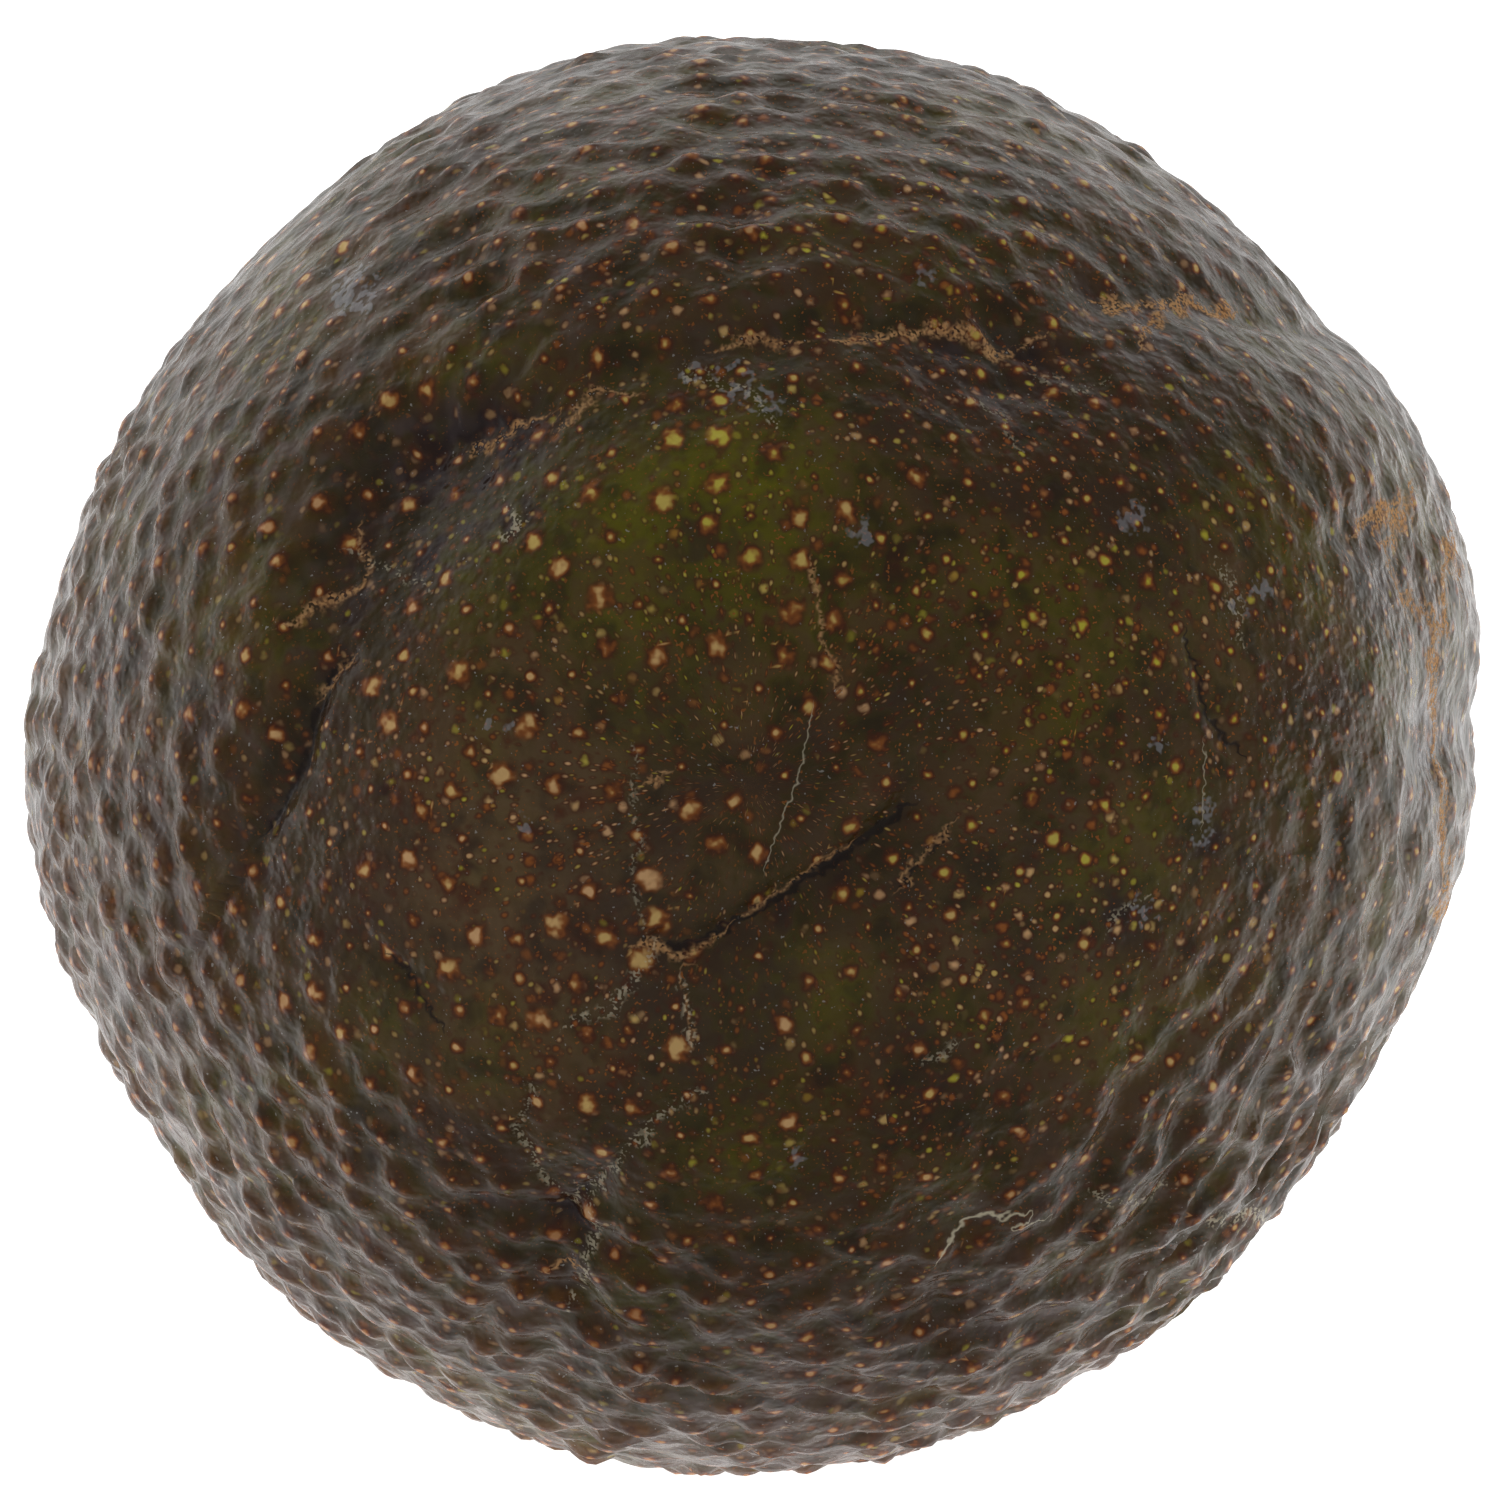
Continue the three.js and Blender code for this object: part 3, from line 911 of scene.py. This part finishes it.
def skin_pores(skin, tone, colours, warp, fine):
    """One pore on each pebble: a pale grain in an orange ring with a soft dark red rim."""
    kind = skin.parts(skin.attribute("pore_kind")["Vector"])
    offset = skin.attribute("from_pore")["Vector"]
    away = skin.add("ShaderNodeVectorMath", {0: offset}, operation="LENGTH").outputs["Value"]
    away = skin.maths("DIVIDE", away, MM)
    bent = skin.between(warp, 0.2, 0.8, -0.5, 0.5)
    uneven = skin.plus(bent, skin.between(fine, 0.2, 0.8, -0.5, 0.5))
    relative = skin.plus(skin.maths("DIVIDE", away, kind[1]), uneven)
    near = skin.attribute("pore_near")["Fac"]
    pebbling = skin.attribute("pebbling")["Fac"]
    clear = skin.times(near, skin.between(pebbling, 0.2, 0.9, 1.0, 0.35))
    core_colour = skin.mix(kind[2], colours.pore, colours.pore_green)
    rim = skin.times(skin.between(relative, 3.2, 1.5, 0.0, 0.9), near)
    ring = skin.times(skin.between(relative, 1.9, 0.7, 0.0, 0.9), near)
    core = skin.times(skin.between(relative, 1.1, 0.15), clear)
    tone = skin.mix(rim, tone, colours.rim)
    tone = skin.mix(ring, tone, colours.halo)
    return skin.mix(core, tone, core_colour)


def skin_specks(skin, tone, colours, green, fine, grain):
    """Finer specks between the pores: orange, yellow-green and dark red, then white dust."""
    freckled = skin.attribute("freckled")["Fac"]
    flow = skin.attribute("flow")["Vector"]
    uneven = skin.between(fine, 0.2, 0.8, -0.1, 0.1)
    for size, run in ((ROUND_SPECK_CELL, None), (LONG_SPECK_CELL, flow)):
        cell = skin.cells(size, run)
        chance = skin.parts(cell["Color"])
        there = skin.times(skin.between(chance[0], 0.1, 0.6), freckled)
        off = skin.plus(cell["Distance"], uneven)
        ring = skin.between(off, SPECK_RADIUS * 1.8, SPECK_RADIUS * 0.7, 0.0, 0.9)
        core = skin.between(off, SPECK_RADIUS * 1.1, SPECK_RADIUS * 0.15)
        greener = skin.plus(skin.between(chance[1], 0.45, 1.0), green)
        core_colour = skin.mix(greener, colours.pore, colours.pore_green)
        core_colour = skin.mix(skin.between(chance[2], 0.4, 0.7), core_colour, colours.halo)
        tone = skin.mix(skin.times(ring, there), tone, colours.rim)
        tone = skin.mix(skin.times(core, there), tone, core_colour)
    tiny = skin.plus(grain, skin.times(fine, 0.5))
    bright = skin.times(skin.between(tiny, 1.0, 1.06, 0.0, 0.9), freckled)
    tone = skin.mix(bright, tone, colours.halo)
    return skin.mix(skin.between(tiny, 0.42, 0.38, 0.0, 0.5), tone, colours.dust)


def skin_finish(colours):
    """Dark olive-brown skin: pores, blotches, cork crusts, grey bloom with painted sheen, painted shade
    in folds and cracks, fine white dust.
    """
    skin = Finish("avocado_skin")
    coarse = skin.noise(COARSE_NOISE, 1)
    middle = skin.noise(MIDDLE_NOISE, 1)
    warp = skin.noise(WARP_NOISE, 1)
    fine = skin.noise(FINE_NOISE, 1)
    grain = skin.noise(GRAIN_NOISE, 0)
    flow = skin.attribute("flow")["Vector"]
    streaks = skin.between(skin.noise(STREAK_NOISE, 1, flow), 0.3, 0.7)

    blotch_and_shade = skin.parts(skin.attribute("blotches_and_shade")["Vector"])
    nub = skin.attribute("nub")["Fac"]
    pebbling = skin.attribute("pebbling")["Fac"]
    groove_shade = skin.attribute("groove_shade")["Fac"]
    ridge = skin.attribute("ridge")["Fac"]

    mottle = skin.plus(middle, skin.times(warp, 0.6))
    tone = skin.mix(skin.between(mottle, 0.68, 0.9), colours.brown, colours.olive)
    tone = skin.mix(skin.attribute("warm")["Fac"], tone, colours.tan)
    green = skin.plus(blotch_and_shade[0], skin.between(coarse, 0.48, 0.3, 0.0, 0.4))
    uneven = skin.between(skin.plus(middle, warp), 0.75, 1.1, 0.45, 1.0)
    green = skin.times(green, uneven)
    tone = skin.mix(green, tone, colours.green)
    rust = skin.times(blotch_and_shade[2], skin.between(warp, 0.4, 0.6))
    tone = skin.mix(rust, tone, colours.rim)
    # Purple: random patches and purple spots of the skin, plus painted shade in the folds, dents and
    # creases and along the main crack
    dark = skin.between(coarse, 0.48, 0.68, 0.0, 0.6)
    dark = skin.maths("MAXIMUM", dark, blotch_and_shade[1])
    dark = skin.maths("MAXIMUM", dark, groove_shade)
    dark = skin.times(dark, skin.between(mottle, 0.65, 0.95, 1.0, 0.4))
    tone = skin.mix(dark, tone, colours.purple_and_shade)

    # The nubs are darker and redder. Between them, on ridge crests and towards the rims, the skin is
    # lightened in streaks, partly by its grey bloom and partly by a painted sheen
    crown = skin.times(skin.between(nub, 0.2, 0.75, 0.0, 0.85), pebbling)
    kind = skin.parts(skin.attribute("pore_kind")["Vector"])
    amber = skin.times(skin.between(kind[0], 0.2, 0.85), skin.between(warp, 0.35, 0.65))
    crown_colour = skin.mix(amber, colours.crown, colours.amber)
    tone = skin.mix(crown, tone, crown_colour)
    bloom_and_sheen = skin.times(skin.between(nub, 0.5, 0.1), pebbling)
    bloom_and_sheen = skin.maths("MAXIMUM", bloom_and_sheen, skin.times(ridge, 0.6))
    bloomed_and_sheened = skin.attribute("bloomed_and_sheened")["Fac"]
    bloom_and_sheen = skin.times(bloom_and_sheen, skin.plus(bloomed_and_sheened, 0.6))
    bloom_and_sheen = skin.plus(bloom_and_sheen, skin.times(bloomed_and_sheened, 0.3))
    bloom_and_sheen = skin.times(bloom_and_sheen, skin.between(streaks, 0.2, 0.9, 0.1, 0.4))
    tone = skin.mix(bloom_and_sheen, tone, colours.bloom_and_sheen)
    stain = skin.plus(skin.times(middle, 0.8), skin.times(warp, 0.4))
    tone = skin.mix(skin.between(stain, 0.58, 0.8, 0.0, 0.55), tone, colours.deep_and_crack_shade)

    tone = skin_specks(skin, tone, colours, green, fine, grain)
    tone = skin_pores(skin, tone, colours, warp, fine)

    jagged = skin.between(fine, 0.25, 0.75, -0.1, 0.1)
    ragged = skin.plus(jagged, skin.between(warp, 0.25, 0.75, -0.14, 0.14))
    # Painted shade: a dark line down the middle of each crack, in the deep colour
    crack_shade = skin.times(line_mask(skin, "crack", ragged, 0.1), 0.85)
    tone = skin.mix(crack_shade, tone, colours.deep_and_crack_shade)
    white = skin.times(line_mask(skin, "white_line", jagged, 0.06), 0.8)
    tone = skin.mix(white, tone, colours.pith)
    crumbs = skin.plus(fine, grain)
    ragged = skin.plus(ragged, skin.between(middle, 0.3, 0.7, -0.25, 0.25))
    cork = skin.times(line_mask(skin, "cork_line", ragged, 0.22), skin.between(crumbs, 0.8, 0.94))
    crust = skin.mix(warp, colours.cork, colours.cork_pale)
    crust = skin.mix(skin.between(grain, 0.6, 0.4, 0.0, 0.6), crust, colours.rim)
    tone = skin.mix(cork, tone, crust)
    dusty = skin.times(line_mask(skin, "dusty_line", ragged, 0.25), skin.between(crumbs, 1.02, 1.14))
    tone = skin.mix(skin.times(dusty, 0.5), tone, colours.pith)

    # Greyish flakes of dry skin in a few places
    flake = skin.plus(skin.attribute("flaked")["Fac"], skin.between(fine, 0.2, 0.8, -0.6, 0.6))
    flake = skin.between(flake, 0.62, 1.0, 0.0, 0.42)
    tone = skin.mix(flake, tone, colours.flake)

    rough = skin.between(middle, 0.3, 0.7, 0.19, 0.3)
    rough = skin.maths("MAXIMUM", rough, skin.times(cork, 0.85))
    height = skin.times(streaks, skin.between(pebbling, 0.25, 0.95, 0.04, 0.26))
    height = skin.plus(height, skin.times(warp, 0.6))
    height = skin.plus(height, skin.times(fine, 0.3))
    bump = skin.add("ShaderNodeBump", {"Height": height, "Strength": 0.8, "Distance": 0.2 * MM})
    return skin.finish({
        "Base Color": tone,
        "Roughness": rough,
        "Normal": bump.outputs[0],
        "IOR": 1.45,
        "Specular IOR Level": 0.32,
    })


def stub_finish(colours):
    """Dry brown bark with grey cracks."""
    bark = Finish("stalk_bark")
    broad = bark.noise(1.6, 4)
    fine = bark.noise(0.35, 4)
    tone = bark.mix(bark.between(broad, 0.35, 0.7), colours.bark, colours.bark_pale)
    tone = bark.mix(bark.between(fine, 0.55, 0.75), tone, colours.bark_dark)
    height = bark.plus(broad, bark.times(fine, 0.5))
    bump = bark.add("ShaderNodeBump", {"Height": height, "Strength": 0.8, "Distance": 0.3 * MM})
    return bark.finish({"Base Color": tone, "Roughness": 0.85, "Normal": bump.outputs[0]})


def build_stub():
    """The stub of the stalk: a low knob with a torn, dished end, turned round the fruit's axis."""
    corner = 0.25 * STUB_ROUND
    profile = [
        (0, -STUB_DEPTH),
        (STUB_WAIST, -STUB_DEPTH),
        (STUB_WAIST, STUB_NECK),
        (STUB_RADIUS, STUB_FLARE),
        (STUB_RADIUS, STUB_HEIGHT - STUB_ROUND),
        (STUB_RADIUS - corner, STUB_HEIGHT - corner),
        (STUB_RADIUS - STUB_ROUND, STUB_HEIGHT),
        (0, STUB_HEIGHT - STUB_DISH),
    ]
    sides = STUB_SIDES
    rings = []
    for start, end in zip(profile, profile[1:]):
        count = max(2, round(math.dist(start, end) / STUB_STEP))
        rings += [np.add(start, np.subtract(end, start) * step / count) for step in range(count)]
    rings = np.array(rings[1:] + [profile[-1]])
    turn = np.arange(sides) * math.tau / sides
    points = [(0, 0, -STUB_DEPTH)]
    for radius, height in rings[:-1]:
        points += [(radius * math.cos(at), radius * math.sin(at), height) for at in turn]
    points.append((0, 0, rings[-1][1]))
    points = np.array(points)
    faces = []
    rows = len(rings) - 1
    for side in range(sides):
        after = (side + 1) % sides
        faces.append((0, 1 + after, 1 + side))
        for row in range(rows - 1):
            low = 1 + row * sides
            faces.append((low + side, low + after, low + sides + after, low + sides + side))
        top = 1 + (rows - 1) * sides
        faces.append((top + side, top + after, len(points) - 1))
    radius = np.hypot(points[:, 0], points[:, 1])
    rough = noise_at(points, 1.3, 5.1) + 0.5 * noise_at(points, 0.5, 2.2)
    out = points[:, :2] / np.maximum(radius, 1e-6)[:, None]
    above = smooth(points[:, 2], 0.2, 1)
    points[:, :2] += out * (above * (0.22 * rough - 0.25))[:, None]
    points[:, 2] += above * smooth(STUB_RADIUS - radius, 0.2, 1.2) * (0.25 * rough - 0.1)
    own = np.stack([
        points[:, 0] + STEM_LEAN[0],
        points[:, 2] + HALF_LENGTH,
        -points[:, 1] + STEM_LEAN[1],
    ], axis=1)
    return mesh_object("stalk_stub", lay_down(own) * MM, faces)


def colour(name, description, default):
    return FloatVectorProperty(
        name=name, description=description, default=default, subtype="COLOR", min=0, max=1,
    )


class AvocadoSkin(bpy.types.PropertyGroup):
    """Sizes and colours of the skin."""

    pebble_spacing: FloatProperty(
        name="Pebble spacing", description="Least distance between the middles of two pebbles",
        default=1.85 * MM, min=0.8 * MM, max=5 * MM, unit="LENGTH", subtype="DISTANCE", precision=5,
    )
    pebble_height: FloatProperty(
        name="Pebble height", description="How far a pebble stands out of the skin",
        default=0.66 * MM, min=0, max=2 * MM, unit="LENGTH", subtype="DISTANCE", precision=5,
    )
    fold_strength: FloatProperty(
        name="Fold strength", description="Share of the full depth of the folds and dents",
        default=1, min=0, max=1.5, subtype="FACTOR",
    )
    brown: colour("Brown", "Main colour of the skin", (0.123, 0.069, 0.023))
    olive: colour("Olive", "Second main colour, in soft patches", (0.080, 0.058, 0.005))
    tan: colour("Tan", "Colour of the lighter brown patches", (0.18, 0.108, 0.048))
    # Both the purple-brown of the skin and the painted shade in its folds, dents and creases
    purple_and_shade: colour("Purple", "Colour of the valleys and sunken places", (0.030, 0.015, 0.013))
    # Both the colour of the dark stains and the painted shade down the cracks
    deep_and_crack_shade: colour("Deep", "Colour of the cracks and creases", (0.018, 0.010, 0.008))
    crown: colour("Crown", "Colour of the pebbles", (0.082, 0.029, 0.010))
    amber: colour("Amber", "Colour of the clearer pebbles", (0.19, 0.070, 0.012))
    # Both the grey bloom of the skin and a painted sheen on its rims and ridge crests
    bloom_and_sheen: colour("Bloom", "Colour of the grey bloom between the pebbles", (0.24, 0.19, 0.20))
    green: colour("Green", "Colour of the patches that are still green", (0.18, 0.165, 0.0005))
    halo: colour("Halo", "Colour of the ring round a pore", (0.46, 0.14, 0.025))
    rim: colour("Rim", "Colour of the dark red rim of a pore", (0.105, 0.024, 0.008))
    pore: colour("Pore", "Colour of a pore's dry grain", (1.0, 0.58, 0.28))
    pore_green: colour("Green pore", "Colour of the greener pores", (0.78, 0.70, 0.06))
    cork: colour("Cork", "Colour of the dry cork along the creases", (0.75, 0.35, 0.12))
    cork_pale: colour("Pale cork", "Colour of the cork where it is most weathered", (0.80, 0.50, 0.24))
    flake: colour("Flake", "Colour of the flakes of dry skin", (0.50, 0.50, 0.54))
    pith: colour("Pith", "Colour of the dry cracks and of the crumbs along the veins", (0.95, 0.85, 0.60))
    dust: colour("Dust", "Colour of the fine dust", (0.62, 0.60, 0.56))


class AvocadoStub(bpy.types.PropertyGroup):
    """Colours of the stub of the stalk."""

    bark: colour("Bark", "Main colour of the stub", (0.10, 0.058, 0.028))
    bark_pale: colour("Pale bark", "Colour of its dry patches", (0.20, 0.13, 0.07))
    bark_dark: colour("Dark bark", "Colour of its cracks", (0.03, 0.018, 0.01))


class AvocadoStage(bpy.types.PropertyGroup):
    """Floor, light and camera."""

    floor_colour: colour("Floor", "Colour of the floor", (0.7, 0.7, 0.7))
    surround: FloatProperty(
        name="Surround", description="Brightness of the white surround behind and beside the fruit",
        default=1.25, min=0, max=5,
    )
    front: FloatProperty(
        name="Front", description="Brightness of the camera's side, as a share of the surround",
        default=0.26, min=0, max=1, subtype="FACTOR",
    )
    glow: FloatProperty(
        name="Glow", description="Brightness of the floor under and behind the fruit",
        default=1.15, min=0, max=5,
    )
    lens: FloatProperty(
        name="Lens", description="Focal length of the camera",
        default=207.7, min=10, max=500, unit="CAMERA",
    )
    floor_size: IntProperty(
        name="Floor size", description="Width of the floor in metres", default=6, min=1, max=20,
    )


class AVOCADO_OT_fruit(bpy.types.Operator):
    """Make the fruit's skin in place of its plain solid"""

    bl_idname = "avocado.fruit"
    bl_label = "Fruit"

    def execute(self, context):
        settings = context.scene.avocado_skin
        fruit = build_fruit(settings)
        fruit.data.materials.append(skin_finish(settings))
        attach(fruit, "root")
        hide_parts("fruit")
        return {"FINISHED"}


class AVOCADO_OT_stub(bpy.types.Operator):
    """Make the stub of the stalk in its socket"""

    bl_idname = "avocado.stub"
    bl_label = "Stalk stub"

    def execute(self, context):
        stub = build_stub()
        stub.data.materials.append(stub_finish(context.scene.avocado_stub))
        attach(stub, "root")
        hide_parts("stem_stub")
        return {"FINISHED"}


def white_surround(settings):
    """A soft white studio all round, dimmer on the camera's side."""
    world = bpy.data.worlds.new("studio")
    world.use_nodes = True
    tree = world.node_tree
    tree.nodes.clear()
    direction = tree.nodes.new("ShaderNodeTexCoord")
    towards = tree.nodes.new("ShaderNodeVectorMath")
    towards.operation = "DOT_PRODUCT"
    towards.inputs[1].default_value = BRIGHT_SIDE
    ease = tree.nodes.new("ShaderNodeMapRange")
    ease.interpolation_type = "SMOOTHSTEP"
    ease.inputs["From Min"].default_value = BRIGHT_RISE[0]
    ease.inputs["From Max"].default_value = BRIGHT_RISE[1]
    ease.inputs["To Min"].default_value = settings.surround * settings.front
    ease.inputs["To Max"].default_value = settings.surround
    background = tree.nodes.new("ShaderNodeBackground")
    output = tree.nodes.new("ShaderNodeOutputWorld")
    tree.links.new(direction.outputs["Generated"], towards.inputs[0])
    tree.links.new(towards.outputs["Value"], ease.inputs["Value"])
    tree.links.new(ease.outputs[0], background.inputs["Strength"])
    tree.links.new(background.outputs[0], output.inputs["Surface"])
    bpy.context.scene.world = world


def floor_finish(settings):
    """Pale paper that glows under and behind the fruit, like a light table."""
    paper = Finish("floor_paper")
    place = paper.parts(paper.place)
    glow = paper.between(place[1], *GLOW_RISE, 0.0, settings.glow)
    return paper.finish({
        "Base Color": settings.floor_colour,
        "Roughness": 0.9,
        "Specular IOR Level": 0.1,
        "Emission Color": (1, 1, 1),
        "Emission Strength": glow,
    })


class AVOCADO_OT_stage(bpy.types.Operator):
    """Make the floor, the light and the camera"""

    bl_idname = "avocado.stage"
    bl_label = "Stage"

    def execute(self, context):
        settings = context.scene.avocado_stage
        half = settings.floor_size / 2
        corners = np.array([(-half, -half, 0), (half, -half, 0), (half, half, 0), (-half, half, 0)])
        floor = mesh_object("floor", corners, [(0, 1, 2, 3)])
        floor.data.materials.append(floor_finish(settings))

        white_surround(settings)
        centre = Vector(VIEW_CENTRE) * MM
        raised = math.radians(VIEW_POINT_RAISE_DEG)
        lens = bpy.data.cameras.new("camera")
        lens.lens = settings.lens
        camera = bpy.data.objects.new("camera", lens)
        back = Vector((0, -math.cos(raised), math.sin(raised)))
        camera.location = centre + back * VIEW_POINT_DISTANCE * MM
        camera.rotation_euler = (-back).to_track_quat("-Z", "Y").to_euler()
        context.scene.collection.objects.link(camera)
        context.scene.camera = camera
        context.scene.view_settings.view_transform = "Standard"
        return {"FINISHED"}


class AVOCADO_PT_panel(bpy.types.Panel):
    """Settings and steps of the avocado"""

    bl_idname = "AVOCADO_PT_panel"
    bl_label = "Avocado"
    bl_space_type = "VIEW_3D"
    bl_region_type = "UI"
    bl_category = "Avocado"

    def draw(self, context):
        for name, _, operator in STEPS:
            box = self.layout.box()
            settings = getattr(context.scene, name)
            for setting in settings.bl_rna.properties.keys():
                if setting not in ("rna_type", "name"):
                    box.prop(settings, setting)
            box.operator(operator.bl_idname)


STEPS = [
    ("avocado_skin", AvocadoSkin, AVOCADO_OT_fruit),
    ("avocado_stub", AvocadoStub, AVOCADO_OT_stub),
    ("avocado_stage", AvocadoStage, AVOCADO_OT_stage),
]


def register():
    for name, group, operator in STEPS:
        bpy.utils.register_class(group)
        setattr(bpy.types.Scene, name, PointerProperty(type=group))
        bpy.utils.register_class(operator)
    bpy.utils.register_class(AVOCADO_PT_panel)


def unregister():
    bpy.utils.unregister_class(AVOCADO_PT_panel)
    for name, group, operator in reversed(STEPS):
        bpy.utils.unregister_class(operator)
        delattr(bpy.types.Scene, name)
        bpy.utils.unregister_class(group)


def main():
    register()
    bpy.ops.avocado.fruit()
    bpy.ops.avocado.stub()
    bpy.ops.avocado.stage()


if __name__ == "__main__":
    main()
